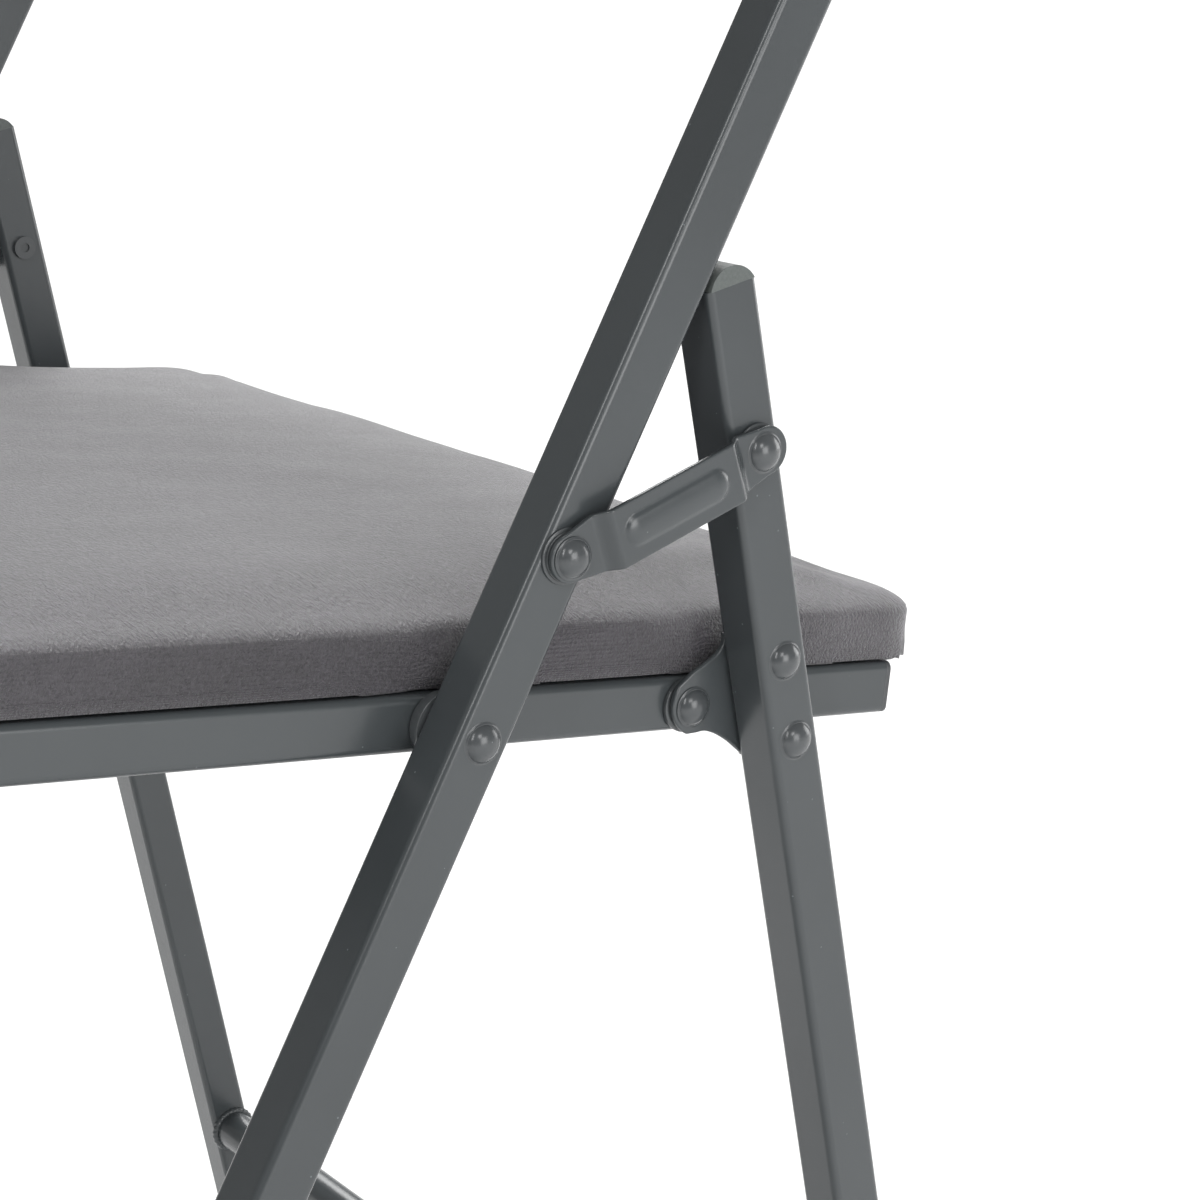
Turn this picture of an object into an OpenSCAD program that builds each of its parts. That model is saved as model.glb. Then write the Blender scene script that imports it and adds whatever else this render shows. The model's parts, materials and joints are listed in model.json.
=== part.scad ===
// Folding chair: an upholstered seat and back on a square-tube steel frame.
// The front legs run up to the back. The seat turns on them near its rear, the rear
// legs turn on the seat's rails, and two short links join the front and rear legs.
// Origin: on the floor, on the centre plane, midway between the foremost and rearmost
// points. +Z is up and the sitter faces -Y. The left side is +X.

/* [Overall] */
// Height from the floor to the top of the back bow
chair_height = 790; // [770:1:810]
// Width over the outer faces of the front legs
frame_width = 444; // [430:1:460]
// Height of the two pivots that carry the seat
pivot_height = 395; // [390:1:400]

/* [Frame tubes] */
// Side of the square leg tube
leg_tube = 16; // [16:0.1:16.4]
// Side of the square seat tube
seat_tube = 15; // [14:0.1:15]
// Diameter of the two round stretchers
stretcher_d = 16; // [12:1:18]
// Wall thickness of every tube
wall = 1.2; // [1:0.1:1.5]
// Outer corner radius of the square tubes
tube_corner = 2.2; // [1.8:0.1:3]
// Radius of the bow's two bends, to the middle of the tube
bow_radius = 45; // [40:1:60]

/* [Angles] */
// Lean of the front legs from upright, top to the rear
front_lean = 30; // [29:0.5:31]
// Lean of the rear legs from upright, top to the front
rear_lean = 10.8; // [10.5:0.1:11]
// Slope of the seat, down to the rear
seat_slope = 7.5; // [6:0.5:8]

/* [Folding linkage] */
// Seat pivot to the rear-leg pivot, along the seat rail
rear_pivot_back = 80; // [79:0.5:81]
// Rear leg's centre line behind the seat pivot, at the pivot's height
rear_leg_back = 98.2; // [98:0.1:99]
// Link pivot above the seat pivot, along the front leg
link_front_up = 50.4; // [50:0.1:51]
// Link pivot on the rear leg above the seat pivot's height, along the rear leg
link_rear_up = 63; // [62:0.1:64]
// Top of the rear leg above the seat pivot's height, along the rear leg
rear_leg_top = 107.4; // [106:0.1:108]
// Thickness of the links' steel
plate = 1.6; // [1.4:0.1:1.8]
// Radius of every rivet's shank
rivet_r = 3; // [2.5:0.1:3]
// Radius of a rivet's domed head
rivet_head_r = 5.05; // [4.8:0.05:5.2]
// Height of a rivet's domed head
rivet_head_h = 2.8; // [2.2:0.1:2.8]

/* [Seat] */
// Front edge of the seat pad, ahead of the pivot
seat_front = 232; // [225:1:234]
// Rear edge of the seat pad, behind the pivot
seat_rear = 168; // [160:1:168]
// Rear end of the seat rails, behind the pivot
rail_rear = 155; // [150:1:157]
// Corner radius of the seat pad, seen from above
seat_corner = 15; // [10:1:40]
// Top of the seat pad's crown above the rail's centre line
seat_crown = 34; // [30:1:38]

/* [Back] */
// Lower edge of the back pad above the seat pivot, along the front leg
back_low = 242; // [240:1:250]
// Height of the back pad, along the front leg
back_height = 168; // [150:1:170]
// Thickness of the back pad at its crown
back_thickness = 30; // [26:1:34]

/* [Hidden] */
$fn = 48;
// Gaps and fits
side_gap = 0.3;         // between faces of different bodies
rear_inset = 0.3;       // the rear legs stand this much inside the front legs' faces
pivot_play = 0.05;      // radial running clearance on a rivet's shank
rail_gap = 3.8;         // front leg's inner face to the seat rail's outer face
half_width = frame_width / 2;
leg_x = half_width - leg_tube / 2;
rail_outer = leg_tube + rail_gap;               // depth of the rail's outer face
rail_inner = rail_outer + seat_tube;            // depth of the rail's inner face
rail_x = half_width - rail_outer - seat_tube / 2;
// The bow's top corner, measured from the middle of its tube
tube_reach = (leg_tube / 2 - tube_corner) * (sin(front_lean) + cos(front_lean)) + tube_corner;
bow_rise = (chair_height - pivot_height - tube_reach) / cos(front_lean);
bow_start = bow_rise - bow_radius;
// Feet
foot_wall = 1.5;
foot_sole = 3;
foot_height = 26;
foot_size = leg_tube + 2 * foot_wall;
front_leg_foot = -pivot_height / cos(front_lean);
rear_leg_foot = -pivot_height / cos(rear_lean);
// The pivots' place that puts the origin midway between front and rear
front_reach = pivot_height * tan(front_lean) + foot_size / 2 / cos(front_lean);
rear_reach = (chair_height - pivot_height - tube_reach) * tan(front_lean) + tube_reach;
pivot_y = (front_reach - rear_reach) / 2;
// Stretchers
front_stretcher_height = 115;
rear_stretcher_drop = 331;
// Link, as points in the side plane measured from the seat pivot
link_p = [link_front_up * sin(front_lean), link_front_up * cos(front_lean)];
link_q = [rear_leg_back - link_rear_up * sin(rear_lean), link_rear_up * cos(rear_lean)];
link_length = norm(link_q - link_p);
link_angle = atan2(link_q[1] - link_p[1], link_q[0] - link_p[0]);
link_end_front = 6.1;
link_end_rear = 6.4;
link_end_past = 1.2;    // the rear end's centre beyond its rivet
link_half = 8.1;        // half width of the link's middle
link_step = 3.3;        // how far the link's middle stands outside its ends
link_ramp = 4.3;
link_ramp_front = 8.2;
link_ramp_rear = link_length - 11.6;
link_seat = 1.6;        // link's inner face outside the legs' outer faces
rib_height = 1.2;
rib_width = 8.6;
rib_margin = 2.5;       // flat strip between the rib's ends and the bends
link_washer_r = 7.3;
link_washer_step = 0.8; // the outer washer's radius is this much less
link_sweep = 30;        // half height of the block that the link is cut from
// Rear pivot in the rear leg's own frame: across, then up the leg
rear_pivot = [rear_pivot_back * cos(seat_slope) - rear_leg_back, -rear_pivot_back * sin(seat_slope)];
rear_pivot_n = rear_pivot[0] * cos(rear_lean) + rear_pivot[1] * sin(rear_lean);
rear_pivot_s = -rear_pivot[0] * sin(rear_lean) + rear_pivot[1] * cos(rear_lean);
bracket_outer = leg_tube + rear_inset;
bracket_plate = 1.8;
bracket_inner = bracket_outer + bracket_plate;
bracket_ear_r = 9.2;     // the ear's round edge, about a centre between the pivot and the leg
bracket_ear = [2.6, 0.2];
bracket_rivets = [3, -20.5];
bracket_tail = 1.2;
rear_washer_r = 7.6;
tail_r = 4.2;
tail_h = 1.5;
tail_cup = 0.4;         // share of the tail's radius that its cup takes
// The dent in each front leg that takes the rear pivot's rivet head when folded
dent_depth = 3.3;
dent_half = 7.5;
dent_front = -6.5;
pivot_washer_r = 9;
// Seat build-up, in heights above the rail's centre line
cover_t = 0.8;
board_t = 9;
cover_low = seat_tube / 2;
board_low = cover_low + cover_t;
seat_side_inset = 0.4;  // the pad's side inside the rail's outer face
seat_half = half_width - rail_outer - seat_side_inset;
rail_front = seat_front - 6;
board_inset = 4.5;
seat_lining_inset = 10;
crown_corner = 20;      // the crown's corners are this much rounder than the pad's
crown_inset = 36;
shoulder_inset = 5;
smallest_corner = 4;
crossbar_front = -200;
crossbar_rear = 132;
rail_cap = 1.5;
rail_plug_stem = 10;
leg_plug_stem = 14;
plug_play = 0.5;        // between a plug's stem and the tube's inside
// Back build-up, in distances ahead of the front legs' centre plane
back_cover_low = leg_tube / 2;
back_board_low = back_cover_low + cover_t;
back_half = half_width + 6;
back_lining_inset = 8;
back_corner = 28;
back_screw_up = [28, 136];
// Screws
screw_r = 2.5;
screw_head_r = 4.6;
screw_head_h = 2.6;
screw_hole_play = 0.25;
screw_grip = 6;         // how far a screw runs into its board
slot_half = 2.6;
slot_half_width = 0.5;
slot_depth = 1.2;
seat_screw_x = 120;

steel = "#595c5e";
velvet = "#8d8a90";
plywood = "#c8a878";
plastic = "#6c7371";
dark = "#2b2b2d";

// Frames: the front leg's, the rear leg's, the seat's and the link's own axes.
// Z runs up a leg, Y runs back along the seat, and Y runs along the link.
module on_front_leg(up) {
    translate([0, pivot_y, pivot_height]) rotate([-front_lean, 0, 0])
        translate([0, 0, up]) children();
}

module on_rear_leg(up) {
    translate([0, pivot_y + rear_leg_back, pivot_height]) rotate([rear_lean, 0, 0])
        translate([0, 0, up]) children();
}

module on_seat(back) {
    translate([0, pivot_y, pivot_height]) rotate([-seat_slope, 0, 0])
        translate([0, back, 0]) children();
}

module on_link(along) {
    on_front_leg(link_front_up) rotate([front_lean + link_angle, 0, 0])
        translate([0, along, 0]) children();
}

module left_or_right(side) {
    if (side > 0) children();
    else mirror([1, 0, 0]) children();
}

module both_sides() {
    children();
    mirror([1, 0, 0]) children();
}

// A rod along X on the left side, between two depths inside the legs' outer face.
module side_rod(r, outer, inner) {
    translate([half_width - inner, 0, 0]) rotate([0, 90, 0]) cylinder(r = r, h = inner - outer);
}

// A flat outline (Y, Z) on the left side, between two depths.
module side_plate(outer, inner) {
    translate([half_width - inner, 0, 0]) rotate([90, 0, 90])
        linear_extrude(inner - outer) children();
}

module round_rect(width, depth, r) {
    square([width, depth - 2 * r], center = true);
    square([width - 2 * r, depth], center = true);
    for (x = [-1, 1], y = [-1, 1])
        translate([x * (width / 2 - r), y * (depth / 2 - r)]) circle(r = r);
}

module tube_outline(size) {
    difference() {
        round_rect(size, size, tube_corner);
        round_rect(size - 2 * wall, size - 2 * wall, tube_corner - wall);
    }
}

module square_tube(size, length) {
    linear_extrude(length) tube_outline(size);
}

module round_tube(d, length) {
    translate([-length / 2, 0, 0]) rotate([0, 90, 0]) difference() {
        cylinder(d = d, h = length);
        translate([0, 0, -1]) cylinder(d = d - 2 * wall, h = length + 2);
    }
}

// Everything below a level, over the chair's whole footprint.
module below(level) {
    translate([-frame_width, -frame_width, level - 100]) cube([2 * frame_width, 2 * frame_width, 100]);
}

// Fasteners
module rivet_head(outer) {
    ball = (pow(rivet_head_r, 2) + pow(rivet_head_h, 2)) / (2 * rivet_head_h);
    translate([half_width - outer, 0, 0]) rotate([0, 90, 0]) intersection() {
        translate([0, 0, rivet_head_h - ball]) sphere(r = ball);
        cylinder(r = rivet_head_r, h = rivet_head_h);
    }
}

module rivet_tail(outer, height) {
    difference() {
        side_rod(tail_r, outer, outer + height);
        side_rod(tail_r * tail_cup, outer + height / 2, outer + height + 1);
    }
}

module rivet(outer, inner, tail) {
    rivet_head(outer);
    side_rod(rivet_r, outer, inner);
    rivet_tail(inner, tail);
}

module washer(r, outer, inner) {
    difference() {
        side_rod(r, outer, inner);
        side_rod(rivet_r, outer - 1, inner + 1);
    }
}

// A pan-head screw that points along +Z, with the underside of its head at 0.
module screw(length) {
    cylinder(r = screw_r, h = length);
    difference() {
        translate([0, 0, -screw_head_h]) cylinder(r1 = screw_head_r - 0.8, r2 = screw_head_r, h = screw_head_h);
        for (turn = [0, 90]) rotate([0, 0, turn])
            translate([-slot_half, -slot_half_width, -screw_head_h - 1])
                cube([2 * slot_half, 2 * slot_half_width, slot_depth + 1]);
    }
}

// Front frame
module dent_box(extra) {
    translate([half_width - leg_tube - 1, dent_front - extra, -rear_pivot_back - dent_half - extra])
        cube([dent_depth + 1 + extra, leg_tube + 1, 2 * (dent_half + extra)]);
}

module front_leg(side) {
    color(steel) left_or_right(side) difference() {
        on_front_leg(0) union() {
            difference() {
                translate([leg_x, 0, front_leg_foot - leg_tube])
                    square_tube(leg_tube, bow_start - front_leg_foot + leg_tube);
                dent_box(0);
                side_rod(rivet_r, -1, leg_tube + 1);
                translate([0, 0, link_front_up]) side_rod(rivet_r, -1, leg_tube + 1);
                for (up = back_screw_up) translate([leg_x, leg_tube, back_low + up]) rotate([90, 0, 0])
                    cylinder(r = screw_r + screw_hole_play, h = 2 * leg_tube);
            }
            intersection() {
                translate([leg_x, 0, -2 * rear_pivot_back])
                    linear_extrude(2 * rear_pivot_back) round_rect(leg_tube, leg_tube, tube_corner);
                difference() {
                    dent_box(wall);
                    dent_box(0);
                }
            }
        }
        below(foot_sole);
    }
}

module back_bow() {
    straight = leg_x - bow_radius;
    color(steel) on_front_leg(0) union() {
        translate([-straight, 0, bow_rise]) rotate([0, 90, 0]) square_tube(leg_tube, 2 * straight);
        both_sides() translate([straight, 0, bow_start]) rotate([90, 0, 0])
            rotate_extrude(angle = 90) translate([bow_radius, 0]) tube_outline(leg_tube);
    }
}

module front_stretcher() {
    color(steel) on_front_leg((front_stretcher_height - pivot_height) / cos(front_lean))
        round_tube(stretcher_d, frame_width - 2 * leg_tube);
}

// A sleeve with a flat sole. The leg's frame is passed in as the lean and the foot's place.
module foot(lean, y, inset) {
    difference() {
        translate([leg_x - inset, y, 0]) rotate([lean, 0, 0]) translate([0, 0, -foot_size])
            linear_extrude(foot_height + foot_size)
                round_rect(foot_size, foot_size, tube_corner + foot_wall);
        translate([leg_x - inset, y, 0]) rotate([lean, 0, 0]) difference() {
            translate([0, 0, -foot_size]) linear_extrude(foot_height + 2 * foot_size)
                round_rect(leg_tube, leg_tube, tube_corner);
            rotate([-lean, 0, 0]) below(foot_sole);
        }
        below(0);
    }
}

module front_foot(side) {
    color(dark) left_or_right(side)
        foot(-front_lean, pivot_y - pivot_height * tan(front_lean), 0);
}

module seat_pivot_rivets() {
    color(steel) both_sides() on_front_leg(0) rivet(0, rail_inner + side_gap, tail_h);
}

module seat_pivot_washers() {
    color(steel) both_sides() on_front_leg(0)
        washer(pivot_washer_r, leg_tube, rail_outer - side_gap);
}

module link_front_rivets() {
    color(steel) both_sides() on_front_leg(link_front_up)
        rivet(-link_seat - plate - side_gap, leg_tube, bracket_tail);
}

module link_front_washers() {
    thick = (link_seat - side_gap) / 2;
    color(steel) both_sides() on_front_leg(link_front_up) {
        washer(link_washer_r, -thick, 0);
        washer(link_washer_r - link_washer_step, -2 * thick, -thick);
    }
}

// Upholstery: a flat board, a lining under it and a crowned pad wrapped over its edges
module pad_outline(half, depth, corner, inset) {
    round_rect(2 * (half - inset), depth - 2 * inset, max(corner - inset, smallest_corner));
}

module pad_board(half, depth, corner) {
    linear_extrude(board_t) pad_outline(half, depth, corner, board_inset);
}

module pad(half, depth, corner, thickness) {
    difference() {
        hull() {
            linear_extrude(thickness * 0.5) pad_outline(half, depth, corner, 0, $fn = 32);
            linear_extrude(thickness * 0.8)
                pad_outline(half, depth, corner, shoulder_inset, $fn = 32);
            linear_extrude(thickness)
                pad_outline(half, depth, corner + crown_corner, crown_inset, $fn = 32);
        }
        translate([0, 0, -1]) linear_extrude(board_t + 1) pad_outline(half, depth, corner, board_inset);
    }
}

module on_back(ahead) {
    on_front_leg(back_low + back_height / 2) rotate([90, 0, 0]) translate([0, 0, ahead]) children();
}

module back_board() {
    color(plywood) difference() {
        on_back(back_board_low) pad_board(back_half, back_height, back_corner);
        back_screws();
    }
}

module back_cushion() {
    color(velvet) on_back(back_board_low)
        pad(back_half, back_height, back_corner, back_thickness - back_board_low + leg_tube / 2);
}

module back_lining() {
    color(dark) difference() {
        on_back(back_cover_low) linear_extrude(cover_t)
            pad_outline(back_half, back_height, back_corner, back_lining_inset);
        back_screws();
    }
}

module back_screws() {
    color(dark) both_sides() for (up = back_screw_up)
        on_front_leg(back_low + up) translate([leg_x, leg_tube / 2, 0]) rotate([90, 0, 0])
            screw(leg_tube + cover_t + screw_grip);
}

// Seat
module seat_rail(side) {
    color(steel) left_or_right(side) difference() {
        on_seat(-rail_front + rail_cap) translate([rail_x, 0, 0]) rotate([-90, 0, 0])
            square_tube(seat_tube, rail_front + rail_rear - 2 * rail_cap);
        on_seat(0) side_rod(rivet_r + pivot_play, rail_outer - 1, rail_inner + 1);
        on_seat(rear_pivot_back) side_rod(rivet_r, rail_outer - 1, rail_inner + 1);
    }
}

module rail_plug() {
    linear_extrude(rail_cap) round_rect(seat_tube, seat_tube, tube_corner);
    translate([0, 0, -rail_plug_stem]) linear_extrude(rail_plug_stem)
        square(seat_tube - 2 * (wall + plug_play), center = true);
}

module seat_rail_plugs() {
    color(steel) both_sides() on_seat(0) translate([rail_x, 0, 0]) {
        translate([0, rail_rear - rail_cap, 0]) rotate([-90, 0, 0]) rail_plug();
        translate([0, -rail_front + rail_cap, 0]) rotate([90, 0, 0]) rail_plug();
    }
}

module seat_crossbar(back) {
    half = half_width - rail_inner;
    color(steel) difference() {
        on_seat(back) translate([-half, 0, 0]) rotate([0, 90, 0]) square_tube(seat_tube, 2 * half);
        for (x = [-seat_screw_x, seat_screw_x]) on_seat(back) translate([x, 0, -seat_tube])
            cylinder(r = screw_r + screw_hole_play, h = 2 * seat_tube);
    }
}

module on_seat_middle(height) {
    on_seat((seat_rear - seat_front) / 2) translate([0, 0, height]) children();
}

module seat_board() {
    color(plywood) difference() {
        on_seat_middle(board_low) pad_board(seat_half, seat_front + seat_rear, seat_corner);
        seat_screws();
    }
}

module seat_cushion() {
    color(velvet) on_seat_middle(board_low)
        pad(seat_half, seat_front + seat_rear, seat_corner, seat_crown - board_low);
}

module seat_lining() {
    color(dark) difference() {
        on_seat_middle(cover_low) linear_extrude(cover_t)
            pad_outline(seat_half, seat_front + seat_rear, seat_corner, seat_lining_inset);
        seat_screws();
    }
}

module seat_screws() {
    color(dark) for (back = [crossbar_front, crossbar_rear], x = [-seat_screw_x, seat_screw_x])
        on_seat(back) translate([x, 0, -seat_tube / 2]) screw(seat_tube + cover_t + screw_grip);
}

module rear_pivot_rivets() {
    color(steel) both_sides() on_seat(rear_pivot_back)
        rivet(bracket_outer - side_gap, rail_inner, tail_h);
}

module rear_pivot_washers() {
    color(steel) both_sides() on_seat(rear_pivot_back)
        washer(rear_washer_r, bracket_inner + side_gap, rail_outer);
}

// Rear legs
module rear_leg(side) {
    color(steel) left_or_right(side) difference() {
        on_rear_leg(0) difference() {
            translate([leg_x - rear_inset, 0, rear_leg_foot - leg_tube])
                square_tube(leg_tube, rear_leg_top - rear_leg_foot + leg_tube);
            for (up = concat(bracket_rivets, [link_rear_up])) translate([0, 0, up])
                side_rod(rivet_r, -1, leg_tube + 2);
        }
        below(foot_sole);
    }
}

module rear_stretcher() {
    color(steel) on_rear_leg(-rear_stretcher_drop)
        round_tube(stretcher_d, frame_width - 2 * (leg_tube + rear_inset));
}

module rear_foot(side) {
    color(dark) left_or_right(side)
        foot(rear_lean, pivot_y + rear_leg_back + pivot_height * tan(rear_lean), rear_inset);
}

// A plug whose top is an arch across the tube, flush with the tube's outer face.
module rear_leg_plug(side) {
    rise = 5;
    half_chord = 7.2;
    arch = (pow(half_chord, 2) + pow(rise, 2)) / (2 * rise);
    color(plastic) left_or_right(side) on_rear_leg(rear_leg_top) union() {
        intersection() {
            translate([0, 0, rise - arch]) side_rod(arch, rear_inset, bracket_outer);
            translate([leg_x - leg_tube, -leg_tube, 0]) cube([2 * leg_tube, 2 * leg_tube, leg_tube]);
        }
        translate([leg_x - rear_inset, 0, -leg_plug_stem]) linear_extrude(leg_plug_stem)
            square(leg_tube - 2 * (wall + plug_play), center = true);
    }
}

// The plate's outline in the rear leg's frame: a base under the leg and a round ear.
module bracket_outline() {
    ear = [rear_pivot_n, rear_pivot_s] + bracket_ear;
    top = bracket_ear_r * [cos(125), sin(125)];
    bottom = bracket_ear_r * [cos(235), sin(235)];
    translate(ear) circle(r = bracket_ear_r);
    polygon([
        [6.5, 9.5], [-6.5, 9.5], [-7.4, 6.9], [-9.8, 4.8], [-14.5, 3.6], ear + top,
        ear + bottom, [-17.6, -15.2], [-14.8, -17], [-11.6, -20.1], [-9, -23.2], [-6.5, -27], [6.5, -27]
    ]);
}

module pivot_bracket(side) {
    color(steel) left_or_right(side) on_rear_leg(0) difference() {
        side_plate(bracket_outer, bracket_inner) bracket_outline();
        translate([0, rear_pivot_n, rear_pivot_s])
            side_rod(rivet_r + pivot_play, leg_tube - 1, rail_outer);
        for (up = bracket_rivets) translate([0, 0, up]) side_rod(rivet_r, leg_tube - 1, rail_outer);
    }
}

module bracket_rivet_set() {
    color(steel) both_sides() for (up = bracket_rivets) on_rear_leg(up)
        rivet(rear_inset, bracket_inner, bracket_tail);
}

// The inner half of each rear link pivot, which stays in the rear leg.
module link_rear_tails() {
    color(steel) both_sides() on_rear_leg(link_rear_up) {
        side_rod(rivet_r, rear_inset, bracket_outer);
        rivet_tail(bracket_outer, tail_h);
    }
}

// Links
module link_outline() {
    circle(r = link_end_front);
    translate([link_length + link_end_past, 0]) circle(r = link_end_rear);
    for (side = [-1, 1]) polygon([
        [0, 0], [0, side * link_end_front], [link_ramp_front + link_ramp, side * link_half],
        [link_ramp_rear, side * link_half], [link_length + link_end_past, side * link_end_rear],
        [link_length, 0]
    ]);
}

// The strip's edge-on outline: its ends lie flat and its middle stands further out.
module link_bend() {
    bend = plate * 0.4;
    inner = link_seat;
    outer = link_seat + plate;
    polygon([
        [inner, -2 * link_end_front], [inner, link_ramp_front],
        [inner + link_step, link_ramp_front + link_ramp], [inner + link_step, link_ramp_rear],
        [inner, link_ramp_rear + link_ramp], [inner, link_length + 2 * link_end_rear],
        [outer, link_length + 2 * link_end_rear], [outer, link_ramp_rear + link_ramp + bend],
        [outer + link_step, link_ramp_rear + bend],
        [outer + link_step, link_ramp_front + link_ramp - bend],
        [outer, link_ramp_front - bend], [outer, -2 * link_end_front]
    ]);
}

module link_rib() {
    start = link_ramp_front + link_ramp + rib_margin + rib_width / 2;
    end = link_ramp_rear - rib_margin - rib_width / 2;
    face = -link_seat - link_step - plate;
    side_plate(face - rib_height, face + plate / 2) {
        translate([start, -rib_width / 2]) square([end - start, rib_width]);
        for (along = [start, end]) translate([along, 0]) circle(d = rib_width);
    }
}

module fold_link(side) {
    color(steel) left_or_right(side) on_link(0) difference() {
        union() {
            intersection() {
                side_plate(-link_sweep, 0) link_outline();
                translate([half_width, 0, -link_sweep]) linear_extrude(2 * link_sweep) link_bend();
            }
            link_rib();
        }
        side_rod(rivet_r + pivot_play, -link_sweep, 0);
        translate([0, link_length, 0]) side_rod(rivet_r, -link_sweep, 0);
    }
}

module link_rear_rivet(side) {
    color(steel) left_or_right(side) on_link(link_length) {
        rivet_head(-link_seat - plate);
        side_rod(rivet_r, -link_seat - plate, 0);
    }
}

module link_rear_washers(side) {
    color(steel) left_or_right(side) on_link(link_length) {
        washer(link_washer_r, -link_seat / 2, 0);
        washer(link_washer_r - link_washer_step, -link_seat, -link_seat / 2);
    }
}

front_leg(1);  // front_leg_left
front_leg(-1);  // front_leg_right
back_bow();
front_stretcher();
front_foot(1);  // front_foot_left
front_foot(-1);  // front_foot_right
seat_pivot_rivets();
seat_pivot_washers();
link_front_rivets();
link_front_washers();
back_board();
back_cushion();
back_lining();
back_screws();
seat_rail(1);  // seat_rail_left
seat_rail(-1);  // seat_rail_right
seat_crossbar(crossbar_front);  // seat_crossbar_front
seat_crossbar(crossbar_rear);  // seat_crossbar_rear
seat_rail_plugs();
seat_board();
seat_cushion();
seat_lining();
seat_screws();
rear_pivot_rivets();
rear_pivot_washers();
rear_leg(1);  // rear_leg_left
rear_leg(-1);  // rear_leg_right
rear_stretcher();
rear_foot(1);  // rear_foot_left
rear_foot(-1);  // rear_foot_right
rear_leg_plug(1);  // rear_leg_plug_left
rear_leg_plug(-1);  // rear_leg_plug_right
pivot_bracket(1);  // pivot_bracket_left
pivot_bracket(-1);  // pivot_bracket_right
bracket_rivet_set();  // bracket_rivets
link_rear_tails();
fold_link(1);  // fold_link_left
link_rear_rivet(1);  // link_rear_rivet_left
link_rear_washers(1);  // link_rear_washers_left
fold_link(-1);  // fold_link_right
link_rear_rivet(-1);  // link_rear_rivet_right
link_rear_washers(-1);  // link_rear_washers_right
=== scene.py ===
"""Looks for the folding chair: studio, finishes, formed steel parts and the two velvet pads.

Metres, +Z up, the sitter faces -Y and the sitter's left is +X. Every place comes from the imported
frame: its joints, its nodes' boxes and its whole box.
"""
import json
import math

import bmesh
import bpy
from mathutils import Matrix, Vector, noise


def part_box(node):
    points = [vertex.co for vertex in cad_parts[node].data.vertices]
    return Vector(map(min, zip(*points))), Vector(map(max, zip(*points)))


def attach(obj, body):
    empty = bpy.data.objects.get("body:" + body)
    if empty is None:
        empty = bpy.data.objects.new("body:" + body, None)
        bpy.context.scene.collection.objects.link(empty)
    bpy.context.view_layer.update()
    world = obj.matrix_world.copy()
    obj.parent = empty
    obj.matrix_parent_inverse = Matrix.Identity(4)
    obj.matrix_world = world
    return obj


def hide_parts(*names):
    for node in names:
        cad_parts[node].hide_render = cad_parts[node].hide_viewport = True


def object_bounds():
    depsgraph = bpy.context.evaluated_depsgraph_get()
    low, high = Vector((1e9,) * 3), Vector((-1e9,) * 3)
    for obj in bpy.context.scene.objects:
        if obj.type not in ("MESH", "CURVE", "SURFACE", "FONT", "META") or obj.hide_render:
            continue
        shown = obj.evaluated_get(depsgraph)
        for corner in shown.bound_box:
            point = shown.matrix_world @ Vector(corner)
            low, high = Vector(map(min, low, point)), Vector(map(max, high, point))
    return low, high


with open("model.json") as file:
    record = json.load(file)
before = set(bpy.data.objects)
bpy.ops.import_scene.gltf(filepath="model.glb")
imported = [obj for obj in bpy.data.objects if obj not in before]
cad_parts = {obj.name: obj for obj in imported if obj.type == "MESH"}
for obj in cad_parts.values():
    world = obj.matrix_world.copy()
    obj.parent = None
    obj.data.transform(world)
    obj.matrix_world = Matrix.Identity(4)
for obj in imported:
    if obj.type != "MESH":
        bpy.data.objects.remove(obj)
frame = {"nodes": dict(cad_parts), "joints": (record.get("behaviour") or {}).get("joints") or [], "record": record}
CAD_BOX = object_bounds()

MM = 0.001
TURN = 2 * math.pi

# ------------------------------------------------------------------ places from the frame

RECORD = frame["record"]
SLOT = {row["node"]: row["material_slot"] for row in RECORD["subparts"]}
BODY = {node: body for body, group in RECORD["behaviour"]["bodies"].items() for node in group}
JOINT = {joint["name"]: Vector(joint["pos_m"]) for joint in frame["joints"]}
SEAT_PIVOT = JOINT["seat_fold"]
REAR_PIVOT = JOINT["rear_leg_fold"]
LINK_FRONT = JOINT["link_left_swing"]
REAR_LEAN = math.radians(10.8)


def box_middle(node):
    low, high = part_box(node)
    return (low + high) / 2


def left_reach(node):
    """Lowest and highest X of a node's left-hand half."""
    across = [v.co.x for v in frame["nodes"][node].data.vertices if v.co.x > 0]
    return min(across), max(across)


def side_frame(origin, along):
    """Axes in the centre plane: X across the chair, Y along a direction and Z square to both."""
    y, z = along.y, along.z
    size = math.hypot(y, z)
    y, z = y / size, z / size
    return Matrix(((1, 0, 0, 0), (0, y, -z, origin.y), (0, z, y, origin.z), (0, 0, 0, 1)))


LINK_REAR = box_middle("link_rear_rivet_left")
HALF_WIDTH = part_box("front_leg_left")[1].x
SEAT_FRAME = side_frame(SEAT_PIVOT, REAR_PIVOT - SEAT_PIVOT)
LINK_FRAME = side_frame(LINK_FRONT, LINK_REAR - LINK_FRONT)
BACK_FRAME = side_frame(SEAT_PIVOT, LINK_FRONT - SEAT_PIVOT)
REAR_LEG_TOP_Y = LINK_REAR.y + (LINK_REAR.z - SEAT_PIVOT.z) * math.tan(REAR_LEAN)
REAR_LEG_FRAME = side_frame(
    Vector((0, REAR_LEG_TOP_Y, SEAT_PIVOT.z)), Vector((0, math.cos(REAR_LEAN), math.sin(REAR_LEAN))))
FRONT_LEG_RUN = (LINK_FRONT - SEAT_PIVOT) * Vector((0, 1, 1))
REAR_LEG_RUN = Vector((0, -math.sin(REAR_LEAN), math.cos(REAR_LEAN)))


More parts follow.
